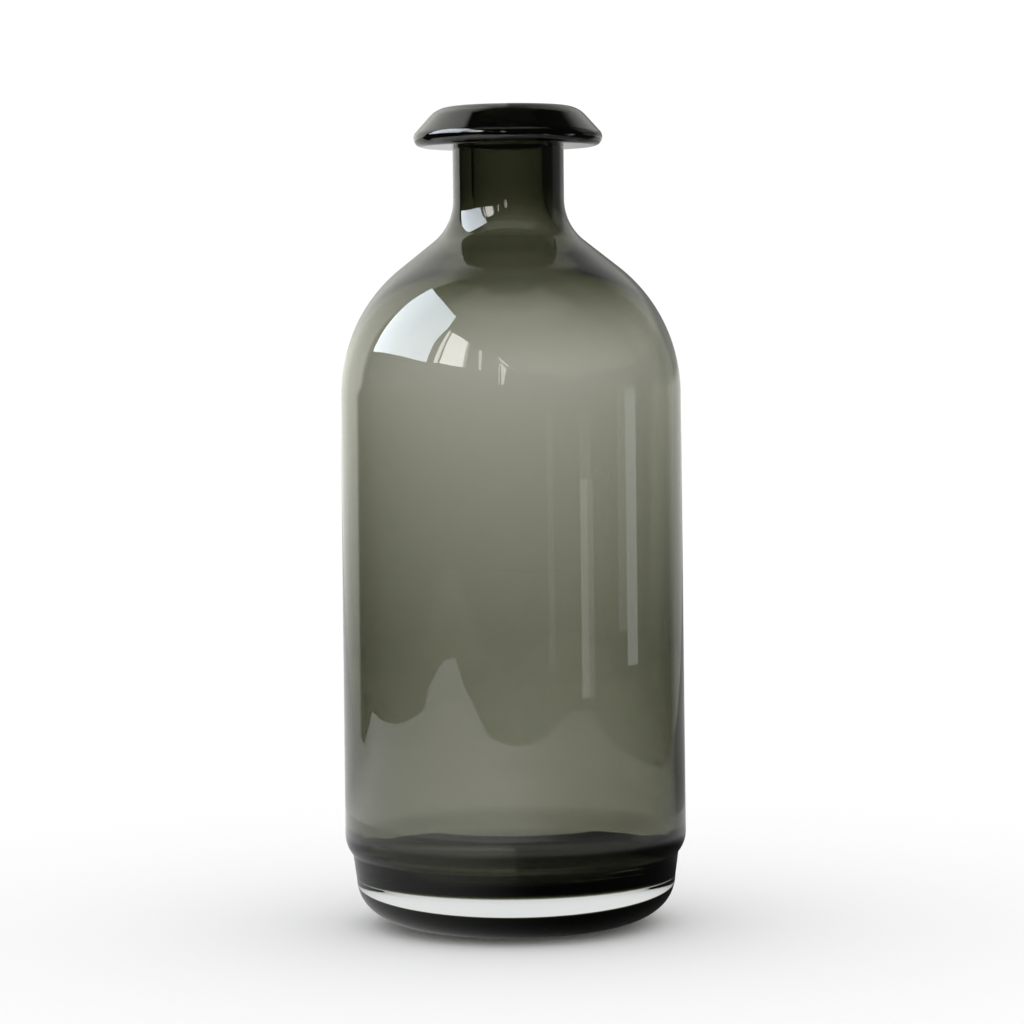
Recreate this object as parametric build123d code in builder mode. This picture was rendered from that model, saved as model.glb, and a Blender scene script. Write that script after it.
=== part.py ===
import math
import os

from build123d import *

# Heights in millimetres, each measured up the axis from the level before it
base_height = 17.6  # clear base, from the resting plane to the seam under the smoke glass
foot_height = 8.9  # foot wall, from the seam to the notch
heel_height = 4.0  # overhanging heel, from the notch to the lower corner of the body
body_height = 193.2  # body wall, up to the corner of the shoulder
shoulder_height = 33.1  # sloping shoulder, up to the corner of the neck
neck_height = 28.6  # neck, up to the flat underside of the lip
lip_height = 14.6  # lip, up to its crest

# Outer radii
foot_radius = 58.8  # at the seam, where the clear base meets the smoke glass
foot_flare = 1.2  # how much wider the foot is at the notch
heel_radius = 62.8
shoulder_radius = 62.3
neck_radius = 20.4
lip_radius = 34.6

# Outer corners
notch_blend = 2.0
heel_blend = 11.0
shoulder_blend = 58.7
neck_blend = 19.0

# Inside of the bottle: a straight mouth, a thick neck root and a wall that thins towards the shoulder
bore_radius = 12.6
bore_blend = 36.0
root_wall = 7.0  # under the shoulder's slope, where it meets the neck
shoulder_wall = 1.7
inner_shoulder_blend = 49.0
body_wall = 3.9  # where the wall starts to thin
body_wall_rise = 70.0  # how far above the heel that is
wall_blend = 300.0
heel_wall = 3.4
cove_rise = 4.0  # top of the cove round the floor, above the heel
cove_top_blend = 10.0
cove_inset = 6.8  # foot of the cove, in from the foot's outside
cove_foot_blend = 4.0
floor_thickness = 4.0  # smoke glass between the seam and the inside

# Clear base: a full round edge under the seam, a ring to rest on and a ground dish
base_edge_run = 29.0  # from the ring's outside to the foot
edge_flat = 0.62  # share of the run over which the edge leaves the ring level
edge_upright = 0.65  # share of the base's height over which it meets the seam upright
edge_lean = 0.5  # how far it leans in over that share
rest_ring = 7.8
dish_depth = 1.6

# Lip: a straight slope between a bead and a round crown
lip_slope = 48.0  # degrees above the horizontal
bead_radius = 3.25
crown_radius = 10.0
mouth_blend = 4.5

# Levels
seam_level = base_height
notch_level = seam_level + foot_height
heel_level = notch_level + heel_height
shoulder_level = heel_level + body_height
neck_level = shoulder_level + shoulder_height
lip_level = neck_level + neck_height
crest_level = lip_level + lip_height

# Inner corners, set back from the outer ones by the walls
slant = math.atan2(shoulder_height, shoulder_radius - neck_radius)
neck_wall = neck_radius - bore_radius
inner_neck_level = neck_level + neck_wall * math.tan(slant) - root_wall / math.cos(slant)
inner_shoulder_level = shoulder_level - shoulder_wall * math.tan((math.pi / 2 - slant) / 2)
thinning_level = heel_level + body_wall_rise
thinning_radius = heel_radius - body_wall + (shoulder_radius - heel_radius) * body_wall_rise / body_height
cove_level = heel_level + cove_rise
floor_level = seam_level + floor_thickness

# The heel is rounded as far as its own slope allows
heel_overhang = abs(heel_radius - foot_radius - foot_flare)
heel_turn = math.atan2(heel_overhang, heel_height)
heel_slope = math.hypot(heel_overhang, heel_height)
heel_round = min(heel_blend, 0.75 * heel_slope / math.tan(heel_turn / 2))

# Bottle: one section from the seam up the outside, over the neck's end and down the inside
with BuildPart() as smoke_bottle:
    with BuildSketch(Plane.XZ):
        with BuildLine():
            FilletPolyline(
                (0, seam_level),
                (foot_radius, seam_level),
                (foot_radius + foot_flare, notch_level),
                (heel_radius, heel_level),
                (shoulder_radius, shoulder_level),
                (neck_radius, neck_level),
                (neck_radius, lip_level),
                (bore_radius, lip_level),
                (bore_radius, inner_neck_level),
                (shoulder_radius - shoulder_wall, inner_shoulder_level),
                (thinning_radius, thinning_level),
                (heel_radius - heel_wall, cove_level),
                (foot_radius - cove_inset, floor_level),
                (0, floor_level),
                radius=[
                    0,
                    0,
                    notch_blend,
                    heel_round,
                    shoulder_blend,
                    neck_blend,
                    0,
                    0,
                    bore_blend,
                    inner_shoulder_blend,
                    wall_blend,
                    cove_top_blend,
                    cove_foot_blend,
                    0,
                ],
                close=True,
            )
        make_face()
    revolve(axis=Axis.Z)

# Clear base: a thick disc whose edge rounds under to the ring that it rests on
with BuildPart() as clear_base:
    with BuildSketch(Plane.XZ):
        with BuildLine():
            rest_radius = foot_radius - base_edge_run
            dish = TangentArc((0, dish_depth), (rest_radius - rest_ring, 0), tangent=(1, 0))
            Line(dish @ 1, (rest_radius, 0))
            Bezier(
                (rest_radius, 0),
                (rest_radius + edge_flat * base_edge_run, 0),
                (foot_radius - edge_lean, base_height * (1 - edge_upright)),
                (foot_radius, seam_level),
            )
            Polyline((foot_radius, seam_level), (0, seam_level), dish @ 0)
        make_face()
    revolve(axis=Axis.Z)

# Lip: a ring wrapped round the mouth, seated on the cut end of the neck
with BuildPart() as rolled_lip:
    with BuildSketch(Plane.XZ):
        with BuildLine():
            slope = math.radians(lip_slope)
            tip_radius = lip_radius - bead_radius + bead_radius / math.tan(slope / 2)
            crown_corner = tip_radius - lip_height / math.tan(slope)
            FilletPolyline(
                (bore_radius, lip_level),
                (tip_radius, lip_level),
                (crown_corner, crest_level),
                (bore_radius, crest_level),
                radius=[0, bead_radius, crown_radius, mouth_blend],
                close=True,
            )
        make_face()
    revolve(axis=Axis.Z)

pieces = {"smoke_bottle": smoke_bottle, "clear_base": clear_base, "rolled_lip": rolled_lip}
os.makedirs("parts", exist_ok=True)
for name, piece in pieces.items():
    piece.part.label = name
    export_step(piece.part, f"parts/{name}.step")
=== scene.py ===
import bmesh
import bpy
import math
from mathutils import Matrix, Vector


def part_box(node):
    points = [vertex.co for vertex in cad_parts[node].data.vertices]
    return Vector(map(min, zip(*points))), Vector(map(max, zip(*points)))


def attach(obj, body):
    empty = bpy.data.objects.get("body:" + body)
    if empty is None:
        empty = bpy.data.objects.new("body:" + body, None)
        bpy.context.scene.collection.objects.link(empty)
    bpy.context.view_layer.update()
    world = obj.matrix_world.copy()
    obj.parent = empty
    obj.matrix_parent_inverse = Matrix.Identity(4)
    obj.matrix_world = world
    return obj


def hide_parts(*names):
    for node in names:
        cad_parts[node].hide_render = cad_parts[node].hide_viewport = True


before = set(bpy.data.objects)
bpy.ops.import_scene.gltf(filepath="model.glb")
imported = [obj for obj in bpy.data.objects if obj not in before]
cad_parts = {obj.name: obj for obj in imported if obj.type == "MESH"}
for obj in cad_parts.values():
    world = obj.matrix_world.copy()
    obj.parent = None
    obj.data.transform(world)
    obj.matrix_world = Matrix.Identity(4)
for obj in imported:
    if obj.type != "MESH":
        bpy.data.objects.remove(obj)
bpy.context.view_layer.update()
scene = bpy.context.scene
scene.view_settings.view_transform = "Standard"
mm = 0.001
cm3 = 1e-6
seamGap = 0.02  # mm, a hairline between fused pieces, so that a ray meets both faces
seamReach = 1.5 * seamGap  # how far from a joint's level its faces may lie

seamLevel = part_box("clear_base")[1].z / mm
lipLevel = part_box("smoke_bottle")[1].z / mm
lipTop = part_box("rolled_lip")[1].z / mm
print("frame loaded, seam at", round(seamLevel, 2), "mm and lip at", round(lipLevel, 2), "mm")

# How fine the turned meshes are: steps and angles in degrees, rows in mm, merging in metres
mesher = {"segments": 256, "arcStep": 2, "fewestSteps": 4, "longRun": 3.2, "edgeRow": 0.12,
          "merge": 1e-6, "sliver": 1e-7, "sharpAngle": 40}


def roundOff(corners, closed=False):  # corners are (radius, height, blend) in mm
    line = []
    for i, (r, z, blend) in enumerate(corners):
        here = Vector((r, z))
        if blend == 0 or (not closed and i in (0, len(corners) - 1)):
            line.append(here)
            continue
        back = (Vector(corners[i - 1][:2]) - here).normalized()
        ahead = (Vector(corners[(i + 1) % len(corners)][:2]) - here).normalized()
        turn = math.pi - back.angle(ahead)
        centre = here + (back + ahead).normalized() * blend / math.cos(turn / 2)
        arm = here + back * blend * math.tan(turn / 2) - centre
        side = -1 if back.x * ahead.y - back.y * ahead.x > 0 else 1
        steps = max(mesher["fewestSteps"], round(math.degrees(turn) / mesher["arcStep"]))
        for step in range(steps + 1):
            line.append(centre + Matrix.Rotation(side * turn * step / steps, 2) @ arm)
    return line + line[:1] if closed else line


def fillIn(line, gap):  # on the straight runs, a row beside each end and even rows between
    edge = mesher["edgeRow"]
    full = [line[0]]
    for a, b in zip(line, line[1:]):
        run = (b - a).length
        if run > mesher["longRun"]:
            way = (b - a) / run
            rows = max(1, math.ceil((run - 2 * edge) / gap))
            for row in range(rows + 1):
                full.append(a + way * (edge + (run - 2 * edge) * row / rows))
        full.append(b)
    return full


def addNode(tree, kind, **settings):
    node = tree.nodes.new(kind)
    for key, value in settings.items():
        setattr(node, key, value)
    return node


def addMath(tree, operation, a, b=None):  # a and b are sockets or plain numbers
    node = addNode(tree, "ShaderNodeMath", operation=operation)
    for slot, value in ((0, a), (1, b)):
        if isinstance(value, (int, float)):
            node.inputs[slot].default_value = value
        elif value is not None:
            tree.links.new(value, node.inputs[slot])
    return node.outputs[0]


def multiply(tree, first, *others):
    product = first
    for other in others:
        product = addMath(tree, "MULTIPLY", product, other)
    return product


def lessen(tree, value, share):  # takes a share of 0 to 1 off a value
    return multiply(tree, value, addMath(tree, "SUBTRACT", 1, share))


# Lathe: turns an outline in the XZ plane into a closed body of glass
latheTree = bpy.data.node_groups.new("latheGlass", "GeometryNodeTree")
for label, kind in (("Outline", "Geometry"), ("Segments", "Int"), ("Glass", "Material")):
    latheTree.interface.new_socket(label, in_out="INPUT", socket_type="NodeSocket" + kind)
latheTree.interface.new_socket("Body", in_out="OUTPUT", socket_type="NodeSocketGeometry")
link = latheTree.links.new
lathe = addNode(latheTree, "NodeGroupInput")
outlineSize = addNode(latheTree, "GeometryNodeAttributeDomainSize", component="MESH")
link(lathe.outputs["Outline"], outlineSize.inputs[0])
rowCount = outlineSize.outputs["Point Count"]
grid = addNode(latheTree, "GeometryNodeMeshGrid")
link(addMath(latheTree, "ADD", lathe.outputs["Segments"], 1), grid.inputs["Vertices X"])
link(rowCount, grid.inputs["Vertices Y"])
index = addNode(latheTree, "GeometryNodeInputIndex").outputs[0]
middle = addMath(latheTree, "ADD", index, 0.5)  # half a step on, so that the division never falls short
column = addMath(latheTree, "FLOOR", addMath(latheTree, "DIVIDE", middle, rowCount))
row = addMath(latheTree, "SUBTRACT", index, multiply(latheTree, column, rowCount))
angle = multiply(latheTree, addMath(latheTree, "DIVIDE", column, lathe.outputs["Segments"]), 2 * math.pi)
sample = addNode(latheTree, "GeometryNodeSampleIndex", data_type="FLOAT_VECTOR", domain="POINT")
link(lathe.outputs["Outline"], sample.inputs["Geometry"])
link(addNode(latheTree, "GeometryNodeInputPosition").outputs[0], sample.inputs["Value"])
link(row, sample.inputs["Index"])
split = addNode(latheTree, "ShaderNodeSeparateXYZ")
link(sample.outputs[0], split.inputs[0])
place = addNode(latheTree, "ShaderNodeCombineXYZ")
link(multiply(latheTree, split.outputs[0], addMath(latheTree, "COSINE", angle)), place.inputs[0])
link(multiply(latheTree, split.outputs[0], addMath(latheTree, "SINE", angle)), place.inputs[1])
link(split.outputs[2], place.inputs[2])
turned = addNode(latheTree, "GeometryNodeSetPosition")
link(grid.outputs["Mesh"], turned.inputs["Geometry"])
link(place.outputs[0], turned.inputs["Position"])
closing = addNode(latheTree, "GeometryNodeMergeByDistance")
closing.inputs["Distance"].default_value = mesher["merge"]
link(turned.outputs[0], closing.inputs["Geometry"])
smooth = addNode(latheTree, "GeometryNodeSetShadeSmooth")
link(closing.outputs[0], smooth.inputs["Geometry"])
real = addNode(latheTree, "GeometryNodeRealizeInstances")
link(smooth.outputs[0], real.inputs["Geometry"])
glazed = addNode(latheTree, "GeometryNodeSetMaterial")
link(real.outputs[0], glazed.inputs["Geometry"])
link(lathe.outputs["Glass"], glazed.inputs["Material"])
link(glazed.outputs[0], addNode(latheTree, "NodeGroupOutput").inputs[0])


def turnPiece(name, line, glass):
    mesh = bpy.data.meshes.new(name)
    points = [(p.x * mm, 0, p.y * mm) for p in line]
    mesh.from_pydata(points, [(i, i + 1) for i in range(len(points) - 1)], [])
    piece = bpy.data.objects.new(name, mesh)
    scene.collection.objects.link(piece)
    nodes = piece.modifiers.new("lathe", "NODES")
    nodes.node_group = latheTree
    ids = {item.name: item.identifier for item in latheTree.interface.items_tree}
    nodes[ids["Segments"]] = mesher["segments"]
    nodes[ids["Glass"]] = glass
    bpy.context.view_layer.update()
    plain = bpy.data.meshes.new_from_object(piece.evaluated_get(bpy.context.evaluated_depsgraph_get()))
    piece.modifiers.remove(nodes)
    piece.data = plain
    shell = bmesh.new()
    shell.from_mesh(plain)
    bmesh.ops.dissolve_degenerate(shell, dist=mesher["sliver"], edges=shell.edges)
    bmesh.ops.recalc_face_normals(shell, faces=shell.faces)
    if shell.calc_volume(signed=True) < 0:
        bmesh.ops.reverse_faces(shell, faces=shell.faces)
    print(name, len(shell.faces), "faces,", round(shell.calc_volume() / cm3, 1), "cm3,",
          sum(len(e.link_faces) != 2 for e in shell.edges), "open edges")
    shell.to_mesh(plain)
    shell.free()
    plain.set_sharp_from_angle(angle=math.radians(mesher["sharpAngle"]))
    return piece


def newGroup(name, inputs, outputs):
    group = bpy.data.node_groups.new(name, "ShaderNodeTree")
    for label, value in inputs.items():
        socket = group.interface.new_socket(label, in_out="INPUT", socket_type="NodeSocketFloat")
        socket.default_value = value
    for label in outputs:
        group.interface.new_socket(label, in_out="OUTPUT", socket_type="NodeSocketFloat")
    return group


# Blown skin: slow waves from the blowing, fine pull marks round the turn, and a faint bloom
skin = {"waveStretch": (1, 1, 0.4), "waveDetail": 1, "pullStretch": (0.12, 0.12, 1), "pullDetail": 2,
        "pullShare": 0.06, "bloomScale": 35, "bloomDetail": 4, "bloomPower": 2}
skinGroup = newGroup("blownSkin", {"Waves": 24, "Pull": 140, "Bloom": 0.02}, ["Height", "Roughness"])
skinIn = addNode(skinGroup, "NodeGroupInput")
skinPlace = addNode(skinGroup, "ShaderNodeTexCoord").outputs["Object"]


def skinNoise(stretch, detail, scale):  # scale is one of the group's inputs
    mapping = addNode(skinGroup, "ShaderNodeMapping")
    mapping.inputs["Scale"].default_value = stretch
    skinGroup.links.new(skinPlace, mapping.inputs[0])
    noise = addNode(skinGroup, "ShaderNodeTexNoise")
    noise.inputs["Detail"].default_value = detail
    skinGroup.links.new(mapping.outputs[0], noise.inputs["Vector"])
    skinGroup.links.new(skinIn.outputs[scale], noise.inputs["Scale"])
    return noise.outputs[0]


link = skinGroup.links.new
waves = skinNoise(skin["waveStretch"], skin["waveDetail"], "Waves")
pull = skinNoise(skin["pullStretch"], skin["pullDetail"], "Pull")
bloom = addNode(skinGroup, "ShaderNodeTexNoise")
bloom.inputs["Scale"].default_value = skin["bloomScale"]
bloom.inputs["Detail"].default_value = skin["bloomDetail"]
link(skinPlace, bloom.inputs["Vector"])
patches = addMath(skinGroup, "POWER", bloom.outputs[0], skin["bloomPower"])
skinOut = addNode(skinGroup, "NodeGroupOutput")
link(addMath(skinGroup, "ADD", waves, multiply(skinGroup, pull, skin["pullShare"])), skinOut.inputs["Height"])
link(multiply(skinGroup, patches, skinIn.outputs["Bloom"]), skinOut.inputs["Roughness"])

# Fused seam: 0 on a flat joint inside the glass, where no surface is left, and 1 elsewhere
seamGroup = newGroup("fusedSeam", {"Level": 0, "Radius": 1}, ["Surface"])
link = seamGroup.links.new
seamIn = addNode(seamGroup, "NodeGroupInput")
seamPlace = addNode(seamGroup, "ShaderNodeSeparateXYZ")
link(addNode(seamGroup, "ShaderNodeTexCoord").outputs["Object"], seamPlace.inputs[0])
seamX, seamY, seamZ = seamPlace.outputs
offLevel = addMath(seamGroup, "ABSOLUTE", addMath(seamGroup, "SUBTRACT", seamZ, seamIn.outputs["Level"]))
square = addMath(seamGroup, "ADD", multiply(seamGroup, seamX, seamX), multiply(seamGroup, seamY, seamY))
offAxis = addMath(seamGroup, "SQRT", square)
onSeam = multiply(seamGroup, addMath(seamGroup, "LESS_THAN", offLevel, seamReach * mm),
                  addMath(seamGroup, "LESS_THAN", offAxis, seamIn.outputs["Radius"]))
link(addMath(seamGroup, "SUBTRACT", 1, onSeam), addNode(seamGroup, "NodeGroupOutput").inputs[0])


def makeGlass(name, looks, seams):  # seams are (level, radius) in mm
    glass = bpy.data.materials.new(name)
    glass.use_nodes = True
    tree = glass.node_tree
    body = tree.nodes["Principled BSDF"]
    body.inputs["Base Color"].default_value = looks["tint"] + (1,)
    body.inputs["Transmission Weight"].default_value = 1
    body.inputs["IOR"].default_value = looks["ior"]
    blown = addNode(tree, "ShaderNodeGroup", node_tree=skinGroup)
    for label in ("Waves", "Pull", "Bloom"):
        blown.inputs[label].default_value = looks[label.lower()]
    bump = addNode(tree, "ShaderNodeBump")
    bump.inputs["Strength"].default_value = 1
    bump.inputs["Distance"].default_value = looks["relief"] * mm
    tree.links.new(blown.outputs["Height"], bump.inputs["Height"])
    tree.links.new(bump.outputs[0], body.inputs["Normal"])
    tree.links.new(blown.outputs["Roughness"], body.inputs["Roughness"])
    surfaces = []
    for level, radius in seams:
        joint = addNode(tree, "ShaderNodeGroup", node_tree=seamGroup)
        joint.inputs["Level"].default_value = level * mm
        joint.inputs["Radius"].default_value = radius * mm
        surfaces.append(joint.outputs[0])
    tree.links.new(multiply(tree, *surfaces), body.inputs["Alpha"])
    smoke = addNode(tree, "ShaderNodeVolumeAbsorption")
    smoke.inputs["Color"].default_value = looks["passes"] + (1,)
    smoke.inputs["Density"].default_value = looks["density"]
    tree.links.new(smoke.outputs[0], tree.nodes["Material Output"].inputs["Volume"])
    return glass


bottle = {"foot": 58.8, "flare": 1.2, "footRise": 8.9, "heel": 62.8, "heelRise": 4.0, "shoulder": 62.3,
          "bodyRise": 193.2, "neck": 20.4, "shoulderRise": 33.1, "notchBlend": 2.0, "heelBlend": 11.0,
          "shoulderBlend": 58.7, "neckBlend": 19.0, "rowGap": 5.0}
inside = {"bore": 12.6, "boreBlend": 36.0, "rootWall": 7.0, "shoulderWall": 1.7, "shoulderBlend": 49.0,
          "bodyWall": 3.9, "wallRise": 70.0, "wallBlend": 300.0, "heelWall": 3.4, "coveRise": 4.0,
          "coveTop": 10.0, "coveInset": 6.8, "coveFoot": 4.0, "floor": 4.0}
smokeLooks = {"tint": (1, 1, 1), "ior": 1.5, "waves": 24.0, "pull": 140.0, "bloom": 0.02, "relief": 0.03,
              "passes": (0.167, 0.18, 0.03), "density": 300.0}
footSeam = (seamLevel, bottle["foot"] - seamGap)
neckSeam = (lipLevel, bottle["neck"] - seamGap)
smokeGlass = makeGlass("smokeGlass", smokeLooks, [footSeam, neckSeam])

notchLevel = seamLevel + bottle["footRise"]
heelLevel = notchLevel + bottle["heelRise"]
shoulderLevel = heelLevel + bottle["bodyRise"]
neckLevel = shoulderLevel + bottle["shoulderRise"]
neckWall = bottle["neck"] - inside["bore"]
slant = math.atan2(bottle["shoulderRise"], bottle["shoulder"] - bottle["neck"])
innerNeckLevel = neckLevel + neckWall * math.tan(slant) - inside["rootWall"] / math.cos(slant)
innerShoulderLevel = shoulderLevel - inside["shoulderWall"] * math.tan((math.pi / 2 - slant) / 2)
floorLevel = seamLevel + inside["floor"]
thinning = (bottle["shoulder"] - bottle["heel"]) * inside["wallRise"] / bottle["bodyRise"]
bottleLine = roundOff([
    (0, seamLevel + seamGap, 0),
    (bottle["foot"], seamLevel + seamGap, 0),
    (bottle["foot"] + bottle["flare"], notchLevel, bottle["notchBlend"]),
    (bottle["heel"], heelLevel, bottle["heelBlend"]),
    (bottle["shoulder"], shoulderLevel, bottle["shoulderBlend"]),
    (bottle["neck"], neckLevel, bottle["neckBlend"]),
    (bottle["neck"], lipLevel - seamGap, 0),
    (inside["bore"], lipLevel - seamGap, 0),
    (inside["bore"], innerNeckLevel, inside["boreBlend"]),
    (bottle["shoulder"] - inside["shoulderWall"], innerShoulderLevel, inside["shoulderBlend"]),
    (bottle["heel"] - inside["bodyWall"] + thinning, heelLevel + inside["wallRise"], inside["wallBlend"]),
    (bottle["heel"] - inside["heelWall"], heelLevel + inside["coveRise"], inside["coveTop"]),
    (bottle["foot"] - inside["coveInset"], floorLevel, inside["coveFoot"]),
    (0, floorLevel, 0)])
smokeBottle = turnPiece("smokeBottle", fillIn(bottleLine, bottle["rowGap"]), smokeGlass)
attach(smokeBottle, "root")
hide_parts("smoke_bottle")
print("bottle done")

lip = {"radius": 34.6, "slope": 48.0, "bead": 3.25, "crown": 10.0, "mouth": 4.5, "rowGap": 2.5}
lean = math.radians(lip["slope"])
tip = lip["radius"] - lip["bead"] + lip["bead"] / math.tan(lean / 2)
lipLine = roundOff([
    (inside["bore"], lipLevel, 0),
    (tip, lipLevel, lip["bead"]),
    (tip - (lipTop - lipLevel) / math.tan(lean), lipTop, lip["crown"]),
    (inside["bore"], lipTop, lip["mouth"])], closed=True)
rolledLip = turnPiece("rolledLip", fillIn(lipLine, lip["rowGap"]), smokeGlass)
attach(rolledLip, "root")
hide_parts("rolled_lip")
print("lip done")

base = {"edge": 29.0, "flat": 0.62, "upright": 0.65, "lean": 0.5, "ring": 7.8, "dishDepth": 1.6,
        "dishSteps": 12, "edgeSteps": 48, "rowGap": 5.0}
clearLooks = {"tint": (1, 1, 1), "ior": 1.5, "waves": 30.0, "pull": 120.0, "bloom": 0.02, "relief": 0.02,
              "passes": (0.78, 0.8, 0.79), "density": 12.0}
clearGlass = makeGlass("clearGlass", clearLooks, [footSeam])
restRadius = bottle["foot"] - base["edge"]
dish = restRadius - base["ring"]
dishCurve = (dish ** 2 + base["dishDepth"] ** 2) / (2 * base["dishDepth"])  # radius of the dish's arc
edgePulls = [Vector((restRadius, 0)), Vector((restRadius + base["flat"] * base["edge"], 0)),
             Vector((bottle["foot"] - base["lean"], seamLevel * (1 - base["upright"]))),
             Vector((bottle["foot"], seamLevel))]
baseLine = []
for step in range(base["dishSteps"] + 1):
    reach = dish * step / base["dishSteps"]
    baseLine.append(Vector((reach, base["dishDepth"] - dishCurve + math.sqrt(dishCurve ** 2 - reach ** 2))))
for step in range(base["edgeSteps"] + 1):
    t = step / base["edgeSteps"]
    shares = ((1 - t) ** 3, 3 * t * (1 - t) ** 2, 3 * t * t * (1 - t), t ** 3)
    baseLine.append(sum((pull * share for pull, share in zip(edgePulls, shares)), Vector((0, 0))))
baseLine.append(Vector((0, seamLevel)))
clearBase = turnPiece("clearBase", fillIn(baseLine, base["rowGap"]), clearGlass)
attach(clearBase, "root")
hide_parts("clear_base")
print("base done")


def lightPath(tree, label):
    return addNode(tree, "ShaderNodeLightPath").outputs[label]


def afterMirror(tree):  # 1 once the ray has been mirrored by a surface, 0 for a ray straight through glass
    return addMath(tree, "GREATER_THAN", lightPath(tree, "Glossy Depth"), 0.5)


def ramp(tree, value, span, low, high):  # goes smoothly from low to high over the span
    node = addNode(tree, "ShaderNodeMapRange", interpolation_type="SMOOTHSTEP")
    for slot, number in enumerate((*span, low, high), 1):
        node.inputs[slot].default_value = number
    tree.links.new(value, node.inputs[0])
    return node.outputs[0]


def mixShaders(tree, share, first, second):
    node = addNode(tree, "ShaderNodeMixShader")
    for slot, socket in enumerate((share, first, second)):
        tree.links.new(socket, node.inputs[slot])
    return node.outputs[0]


def onRing(turn, reach, up):  # turn in degrees from the front, above 0 on the right
    return reach * math.sin(math.radians(turn)), -reach * math.cos(math.radians(turn)), up


def addSheet(name, corners, material):
    mesh = bpy.data.meshes.new(name)
    mesh.from_pydata(corners, [], [tuple(range(len(corners)))])
    sheet = bpy.data.objects.new(name, mesh)
    sheet.data.materials.append(material)
    scene.collection.objects.link(sheet)
    return sheet


def bareMaterial(name):
    material = bpy.data.materials.new(name)
    material.use_nodes = True
    material.node_tree.nodes.remove(material.node_tree.nodes["Principled BSDF"])
    return material


studioWhite = 1.05  # strength of the white world, and of the far table seen through glass

# Tabletop: pale to the eye. For what the glass shows of it, a dark mat with painted shade close to the base,
# a painted glow of window light round that, and white far off.
# Its edge is in degrees from the front and metres from the axis, the spans in metres along x, y or the floor
table = {"edge": [(-117, 0.64), (-107, 0.82), (-60, 0.88), (-57, 1.01), (-51, 1.14), (-45, 1.22), (-38, 1.24),
                  (-32, 1.03), (-25, 0.9), (-16, 0.74), (16, 0.72), (26, 0.79), (36, 0.86), (50, 0.87),
                  (60, 0.74), (71, 0.65), (88, 0.59), (115, 0.53)],
         "far": [(0.7, 6.0), (-0.9, 6.0)], "drop": 0.05, "colour": (0.97, 0.97, 0.97),
         # the dark keys set the painted shade round the base, the glow keys the painted light, and the dip
         # keys a painted shade on the right
         "darkMirrored": 0.335, "darkThrough": 0.125, "shortRay": (0.1, 0.14),
         "darkLeft": 0.45, "darkRight": 0.03, "darkAcross": (-0.09, 0.03),
         "darkFar": 0.45, "darkAway": (0.12, 0.3), "darkDirect": 0.4,
         "glowLeft": 1.4, "glowRight": 0.5, "glowAcross": (-0.2, 0.5),
         "glowBehind": 0.55, "behindY": (0.12, 0.35),
         "dipRight": 0.5, "dipAway": (0.335, 0.8), "dipAcross": (0, 0.25), "whiteAway": (0.5, 1.5)}
tableWithPaintedLight = bareMaterial("tableWithPaintedLight")
tree = tableWithPaintedLight.node_tree
link = tree.links.new
matt = addNode(tree, "ShaderNodeBsdfDiffuse")
matt.inputs["Color"].default_value = table["colour"] + (1,)
tablePlace = addNode(tree, "ShaderNodeTexCoord").outputs["Object"]
tableXYZ = addNode(tree, "ShaderNodeSeparateXYZ")
link(tablePlace, tableXYZ.inputs[0])
tableX, tableY = tableXYZ.outputs[:2]
offCentre = addNode(tree, "ShaderNodeVectorMath", operation="LENGTH")
link(tablePlace, offCentre.inputs[0])
away = offCentre.outputs["Value"]
mirrorRay = afterMirror(tree)
glassRay = addMath(tree, "MAXIMUM", mirrorRay, lightPath(tree, "Is Transmission Ray"))

# Painted shade: a dark mat seen only off or through the glass, darkest under and near the base where the
# vase's shadow falls, lighter farther off and on the left where the window light falls
paintedShadeExtra = multiply(tree, mirrorRay, table["darkMirrored"] - table["darkThrough"])
paintedShadeReach = addMath(tree, "ADD", paintedShadeExtra, table["darkThrough"])
short = ramp(tree, lightPath(tree, "Ray Length"), table["shortRay"], 1, 0)
inPaintedShade = multiply(tree, addMath(tree, "LESS_THAN", away, paintedShadeReach),
                  addMath(tree, "MAXIMUM", mirrorRay, short))
paintedShadeLevel = ramp(tree, tableX, table["darkAcross"], table["darkLeft"], table["darkRight"])
paintedShadeLevel = addMath(tree, "ADD", paintedShadeLevel, ramp(tree, away, table["darkAway"], 0, table["darkFar"]))
paintedShadeLevel = multiply(tree, paintedShadeLevel, ramp(tree, mirrorRay, (0, 1), table["darkDirect"], 1))

# Painted light: the table as the glass mirrors it glows brighter on the left, where the window light falls,
# and dimmer farther behind the vase
paintedLightLevel = multiply(tree, ramp(tree, tableX, table["glowAcross"], table["glowLeft"], table["glowRight"]),
                     ramp(tree, tableY, table["behindY"], 1, table["glowBehind"]))
# Painted shade: the mirrored table darker on the right next to the dark mat, fading out by 0.8 m from the
# axis
paintedShadeDip = multiply(tree, ramp(tree, away, table["dipAway"], table["dipRight"], 0),
               ramp(tree, tableX, table["dipAcross"], 0, 1))
paintedLightLevel = lessen(tree, lessen(tree, paintedLightLevel, paintedShadeDip), inPaintedShade)
paintedTableLight = addNode(tree, "ShaderNodeEmission")
link(addMath(tree, "ADD", paintedLightLevel, multiply(tree, inPaintedShade, paintedShadeLevel)), paintedTableLight.inputs["Strength"])
backdrop = addNode(tree, "ShaderNodeEmission")
backdrop.inputs["Color"].default_value = (1, 1, 1, 1)
backdrop.inputs["Strength"].default_value = studioWhite

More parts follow.
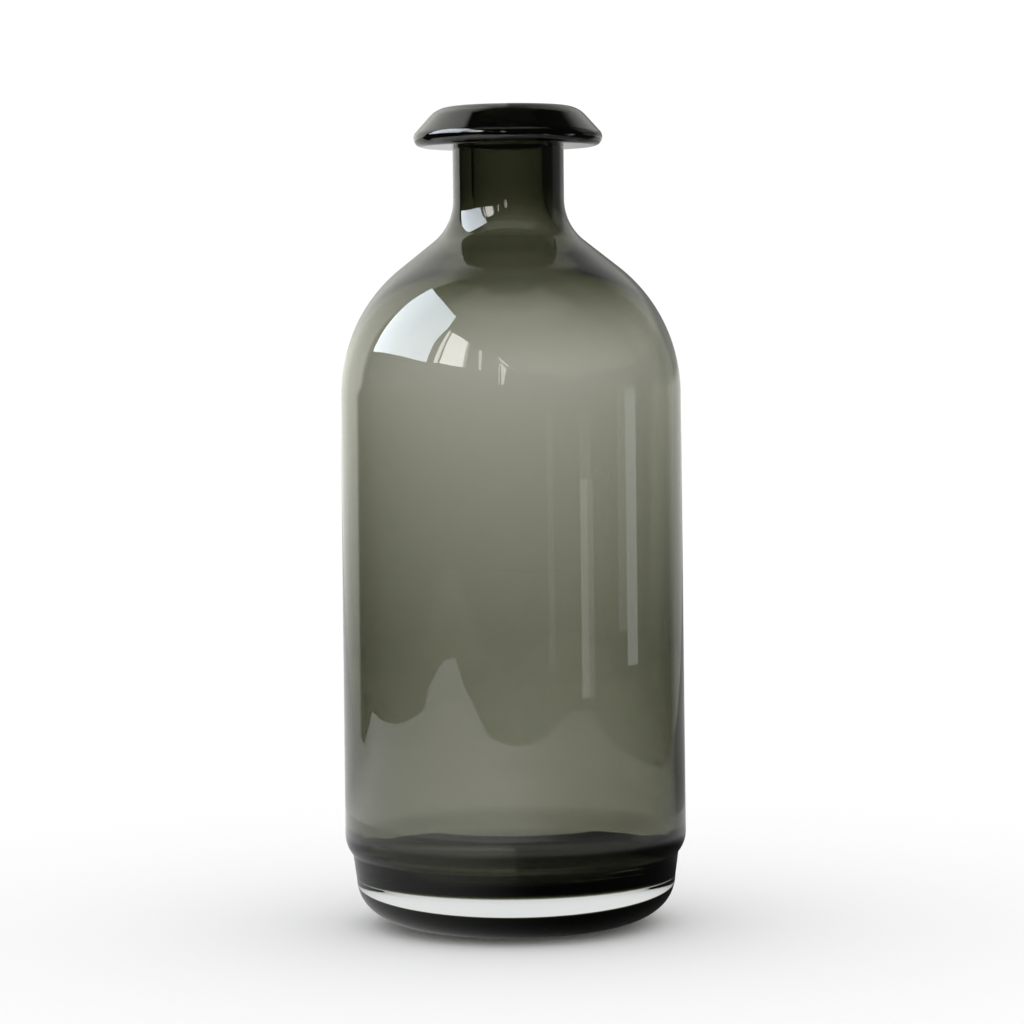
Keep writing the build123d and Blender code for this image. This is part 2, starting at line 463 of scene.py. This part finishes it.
shown = addMath(tree, "MAXIMUM", mirrorRay, multiply(tree, glassRay, inPaintedShade))
nearTable = mixShaders(tree, shown, matt.outputs[0], paintedTableLight.outputs[0])
farThrough = multiply(tree, lessen(tree, glassRay, mirrorRay), ramp(tree, away, table["whiteAway"], 0, 1))
link(mixShaders(tree, farThrough, nearTable, backdrop.outputs[0]),
     tree.nodes["Material Output"].inputs["Surface"])
tableLevel = -table["drop"] * mm
tableEdge = [onRing(turn, reach, tableLevel) for turn, reach in table["edge"]]
addSheet("tabletop", tableEdge + [(x, y, tableLevel) for x, y in table["far"]], tableWithPaintedLight)
print("table done")


def emitting(name, colour, power, fade):  # fade gives the heights between which the light dies away
    card = bareMaterial(name)
    tree = card.node_tree
    glow = addNode(tree, "ShaderNodeEmission")
    glow.inputs["Color"].default_value = colour + (1,)
    height = addNode(tree, "ShaderNodeSeparateXYZ")
    tree.links.new(addNode(tree, "ShaderNodeTexCoord").outputs["Object"], height.inputs[0])
    tree.links.new(ramp(tree, height.outputs[2], fade, power, 0), glow.inputs["Strength"])
    tree.links.new(glow.outputs[0], tree.nodes["Material Output"].inputs["Surface"])
    return card


# Window and door panes, seen only as reflections: corners in metres along and up a wall at x or y,
# or strips in degrees and metres up on a ring about the vase
noFade = (8, 9)  # over the top of every pane
panes = [
    {"name": "windowLeft", "x": -2.0, "colour": (0.84, 0.92, 1.0), "power": 11.5,
     "corners": [(0.89, 0.86), (-1.12, 1.03), (-1.17, 1.73), (-1.41, 2.49), (-1.43, 3.3), (0.05, 3.17),
                 (0.86, 3.14)]},
    {"name": "windowNext", "x": -2.0, "colour": (1.0, 0.98, 0.95), "power": 11.5,
     "corners": [(-1.66, 1.16), (-3.05, 1.43), (-3.08, 2.92), (-1.74, 2.53)]},
    {"name": "windowBar", "x": -2.0, "colour": (1.0, 0.98, 0.95), "power": 9.5,
     "corners": [(-1.38, 1.1), (-1.56, 1.14), (-1.66, 2.5), (-1.52, 2.46)]},
    {"name": "windowSide", "x": -2.0, "colour": (1.0, 0.99, 0.97), "power": 3.0,
     "corners": [(-3.05, 1.43), (-3.3, 1.48), (-3.35, 3.0), (-3.08, 2.92)]},
    {"name": "gapLeft", "y": -2.5, "colour": (1.0, 1.0, 0.98), "power": 5.0,
     "corners": [(-1.07, 1.86), (-0.93, 1.75), (-0.9, 1.04), (-0.99, 1.04)]},
    {"name": "gapRoof", "y": -2.5, "colour": (1.0, 1.0, 0.98), "power": 6.0,
     "corners": [(-0.35, 1.46), (-0.05, 1.13), (-0.05, 1.08), (-0.33, 1.33)]},
    {"name": "gapMiddle", "y": -2.5, "colour": (1.0, 1.0, 0.98), "power": 6.0,
     "corners": [(-0.29, 1.24), (-0.1, 1.0), (-0.15, 0.84), (-0.2, 0.52), (-0.25, 0.52)]},
    {"name": "gapEdge", "y": -2.5, "colour": (1.0, 1.0, 0.98), "power": 4.0,
     "corners": [(-0.35, 1.26), (-0.31, 1.26), (-0.31, 0.54), (-0.35, 0.54)]},
    {"name": "doorEdge", "ring": 0.8, "colour": (1.0, 1.0, 0.97), "power": 1.6,
     "corners": [(44.5, 0.014), (49.5, 0.014), (49.5, 0.138), (44.5, 0.138)]},
    {"name": "doorShade", "ring": 0.8, "colour": (1.0, 1.0, 0.97), "power": 0.8,
     "corners": [(49.5, 0.014), (53.5, 0.014), (53.5, 0.138), (49.5, 0.138)]},
    {"name": "doorTop", "ring": 0.8, "colour": (1.0, 1.0, 0.97), "power": 0.6, "fade": (0.138, 0.19),
     "corners": [(44.5, 0.138), (52.0, 0.138), (52.0, 0.19), (44.5, 0.19)]},
    {"name": "curtain", "ring": 0.8, "colour": (0.95, 0.98, 1.0), "power": 1.8, "fade": (0.15, 0.28),
     "corners": [(79.4, 0.03), (88.5, 0.03), (89.0, 0.28), (79.4, 0.28)]},
    {"name": "curtainShade", "ring": 0.8, "colour": (0.95, 0.98, 1.0), "power": 0.6, "fade": (0.12, 0.28),
     "corners": [(72.5, 0.05), (79.4, 0.05), (79.4, 0.28), (72.5, 0.28)]},
    {"name": "jamb", "ring": 0.8, "colour": (1.0, 1.0, 0.97), "power": 0.45, "fade": (0.12, 0.24),
     "corners": [(22.5, 0.03), (26.5, 0.03), (26.5, 0.24), (22.5, 0.24)]},
]
for pane in panes:
    if "x" in pane:
        corners = [(pane["x"], along, up) for along, up in pane["corners"]]
    elif "y" in pane:
        corners = [(along, pane["y"], up) for along, up in pane["corners"]]
    else:
        corners = [onRing(turn, pane["ring"], up) for turn, up in pane["corners"]]
    card = emitting(pane["name"], pane["colour"], pane["power"], pane.get("fade", noFade))
    sheet = addSheet(pane["name"], corners, card)
    sheet.visible_camera = sheet.visible_diffuse = sheet.visible_transmission = False
    sheet.visible_shadow = sheet.visible_volume_scatter = False
print(len(panes), "panes done")

# Studio: white all round, and a dim room in its place for what the glass mirrors.
# Turns are in degrees from the front, rises are the sine of the angle over the horizon
room = {"dim": 0.05, "colour": (0.79, 0.8, 0.745),
        "behindLeft": 1.75, "leftTurn": (-129, -124), "leftLow": 0.5, "leftRise": (-0.12, -0.03),
        "leftShifts": [((-0.01, 0.04), 6), ((0.3, 0.8), 8)],
        "sideRight": 0.42, "sideTurn": (100, 110), "sideRise": (-0.11, -0.02), "sideFall": (0.45, 0.75),
        "behindRight": 0.6, "rightTurn": (128, 143),
        "rightDip": 0.5, "dipRise": (0, 0.05), "dipFall": (0.2, 0.35),
        "behindTop": 0.5, "topTurn": (155, 172), "topRise": (0.04, 0.1), "zenith": (0.84, 0.985),
        "ceiling": 0.8, "ceilingRise": (0.72, 0.88), "ceilingFall": (0.955, 0.98), "ceilingTurn": (60, 85)}
world = bpy.data.worlds.new("studio")
scene.world = world
world.use_nodes = True
tree = world.node_tree
link = tree.links.new
white = tree.nodes["Background"]
white.inputs["Color"].default_value = (1, 1, 1, 1)
white.inputs["Strength"].default_value = studioWhite
way = addNode(tree, "ShaderNodeSeparateXYZ")
link(addNode(tree, "ShaderNodeTexCoord").outputs["Generated"], way.inputs[0])
wayX, wayY, rise = way.outputs
aside = multiply(tree, addMath(tree, "ARCTAN2", wayX, multiply(tree, wayY, -1)), math.degrees(1))
offFront = addMath(tree, "ABSOLUTE", aside)

leftTurn = aside
for span, shift in room["leftShifts"]:
    leftTurn = addMath(tree, "SUBTRACT", leftTurn, ramp(tree, rise, span, 0, shift))
leftLevel = multiply(tree, ramp(tree, leftTurn, room["leftTurn"], room["behindLeft"], 0),
                     ramp(tree, rise, room["leftRise"], room["leftLow"], 1))
sideLevel = multiply(tree, ramp(tree, aside, room["sideTurn"], 0, room["sideRight"]),
                     ramp(tree, rise, room["sideRise"], 0, 1), ramp(tree, rise, room["sideFall"], 1, 0))
rightLevel = addMath(tree, "ADD", sideLevel, ramp(tree, aside, room["rightTurn"], 0, room["behindRight"]))
rightDip = multiply(tree, ramp(tree, rise, room["dipRise"], 0, room["rightDip"]),
                    ramp(tree, rise, room["dipFall"], 1, 0))
shade = multiply(tree, ramp(tree, offFront, room["topTurn"], 0, 1 - room["behindTop"]),
                 ramp(tree, rise, room["topRise"], 0, 1))
behind = addMath(tree, "ADD", leftLevel, lessen(tree, rightLevel, rightDip))
behind = multiply(tree, lessen(tree, behind, shade), ramp(tree, rise, room["zenith"], 1, 0))
ceiling = multiply(tree, ramp(tree, rise, room["ceilingRise"], 0, room["ceiling"]),
                   ramp(tree, rise, room["ceilingFall"], 1, 0),
                   ramp(tree, offFront, room["ceilingTurn"], 1, 0))
levels = addMath(tree, "ADD", addMath(tree, "ADD", behind, ceiling), room["dim"])
mirrored = addNode(tree, "ShaderNodeBackground")
mirrored.inputs["Color"].default_value = room["colour"] + (1,)
link(levels, mirrored.inputs["Strength"])
link(mixShaders(tree, afterMirror(tree), white.outputs[0], mirrored.outputs[0]),
     tree.nodes["World Output"].inputs["Surface"])
print("studio done")

shot = {"place": (0, -1.282, 0.218), "down": 2.959, "roll": -0.66, "lens": 122.8, "sensor": 36}
camera = bpy.data.objects.new("camera", bpy.data.cameras.new("camera"))
scene.collection.objects.link(camera)
camera.data.lens = shot["lens"]
camera.data.sensor_width = shot["sensor"]
camera.location = shot["place"]
tilt = Matrix.Rotation(math.radians(90 - shot["down"]), 4, "X")
camera.rotation_euler = (tilt @ Matrix.Rotation(math.radians(shot["roll"]), 4, "Z")).to_euler()
scene.camera = camera
print("camera done")
